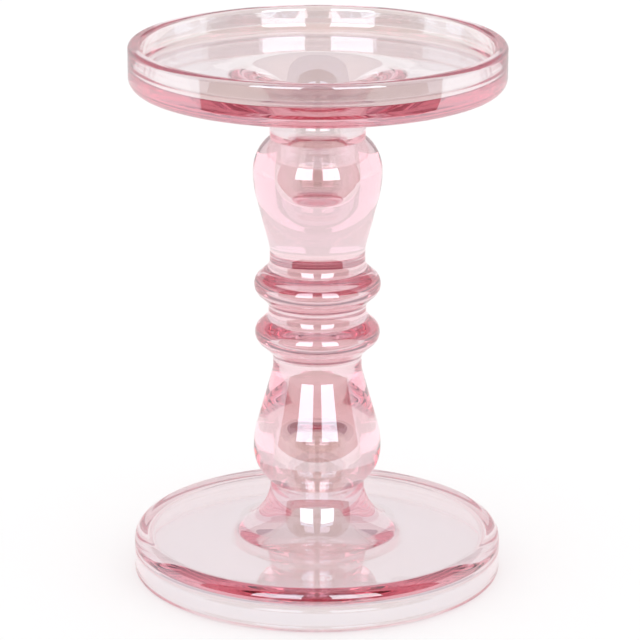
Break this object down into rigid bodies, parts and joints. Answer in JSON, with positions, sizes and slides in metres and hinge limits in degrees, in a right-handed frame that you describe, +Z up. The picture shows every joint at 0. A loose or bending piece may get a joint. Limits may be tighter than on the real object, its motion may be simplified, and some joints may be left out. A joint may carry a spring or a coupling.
{
  "type": "glass candlestick",
  "caption": "Reversible pillar candlestick in lustred rose glass: a rimmed dish and a matching foot joined by a turned, ringed baluster stem.",
  "frame": {"origin": "centre of the plane that the foot stands on, on the axis of the stem", "axes": "+Z up along the axis of the stem, from the foot to the dish; X and Y are equal, because the object is round"},
  "size_m": [0.1024, 0.1024, 0.15],
  "materials": {
    "rose_glass": "clear rose-pink pressed glass, fire-polished smooth, with a thin lilac lustre coating on the outer faces"
  },
  "bodies": {
    "root": {"candle_dish": "rose_glass", "upper_baluster": "rose_glass", "upper_ring": "rose_glass", "lower_ring": "rose_glass", "lower_baluster": "rose_glass", "foot_plate": "rose_glass"}
  },
  "joints": []
}
